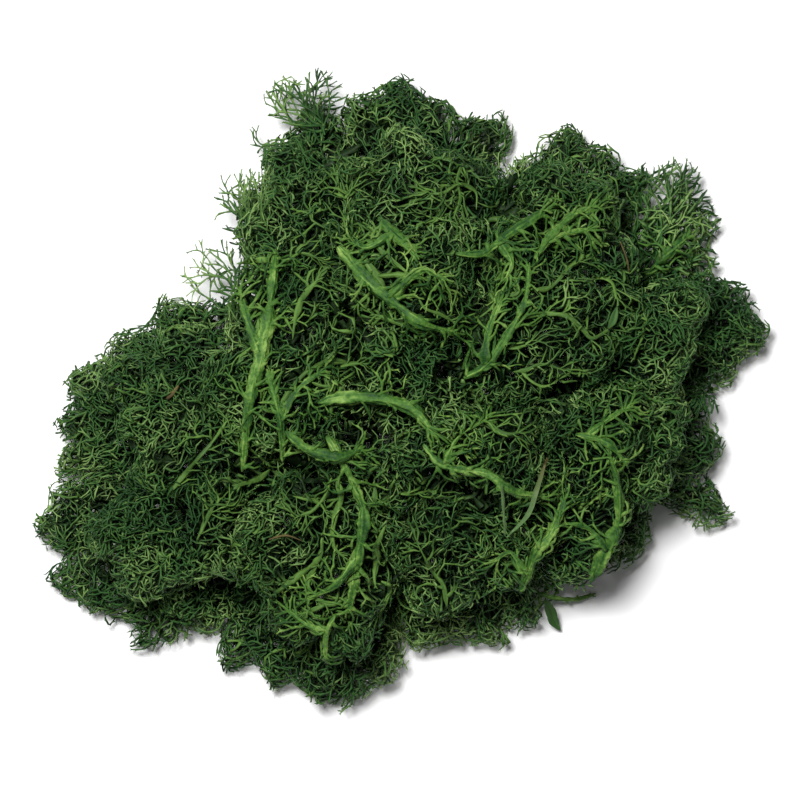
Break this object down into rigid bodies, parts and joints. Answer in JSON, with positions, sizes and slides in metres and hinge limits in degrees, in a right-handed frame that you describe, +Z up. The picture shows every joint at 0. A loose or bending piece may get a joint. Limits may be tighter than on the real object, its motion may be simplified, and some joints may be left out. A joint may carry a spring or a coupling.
{
  "type": "preserved reindeer moss clump",
  "caption": "Handful of deep green preserved reindeer moss: lumpy crowns of fine forked branchlets, with thick pale stems showing on top, lying flat.",
  "frame": {"origin": "middle of the footprint, on the surface that the clump rests on", "axes": "+Z up, +X to the right and +Y to the top of the picture, which looks straight down"},
  "size_m": [0.146, 0.1268, 0.0419],
  "materials": {
    "moss": "matt deep green, soft and fine",
    "stem": "matt yellow-green, slightly waxy",
    "straw": "dry grass, dull",
    "needle": "dry brown, dull",
    "leaf": "thin dark green leaf, dull"
  },
  "bodies": {
    "root": {"tuft_lower_left_edge": "moss", "tuft_lower_left": "moss", "tuft_left": "moss", "tuft_bottom": "moss", "tuft_bottom_right": "moss", "tuft_lower_right": "moss", "tuft_right_lower": "moss", "tuft_right": "moss", "tuft_upper_right": "moss", "tuft_top_right": "moss", "tuft_top": "moss", "tuft_top_left": "moss", "sprig_top_left": "moss", "sprig_left_fork": "moss", "sprig_left_curl": "moss", "tuft_middle": "moss", "tuft_right_middle": "moss", "tuft_centre_left": "moss", "tuft_right_centre": "moss", "tuft_centre_top": "moss", "tuft_centre_right": "moss", "stem_left": "stem", "stem_left_inner": "stem", "stem_bottom": "stem", "stem_bottom_fork": "stem", "stem_dark_bend": "stem", "stem_centre_arch": "stem", "stem_centre_top": "stem", "stem_top": "stem", "stem_upper_bough": "stem", "stem_upper_right": "stem", "stem_far_right": "stem", "stem_right_pair": "stem", "stem_right_middle": "stem", "stem_centre_right": "stem", "stem_lower_right": "stem", "stem_lower_centre": "stem", "grass_blade": "straw", "straw": "straw", "brown_needle": "needle", "tan_needle": "needle", "bark_flake": "needle", "leaf_scrap": "leaf", "leaf_tail": "leaf", "curled_sprig": "stem"}
  },
  "joints": []
}
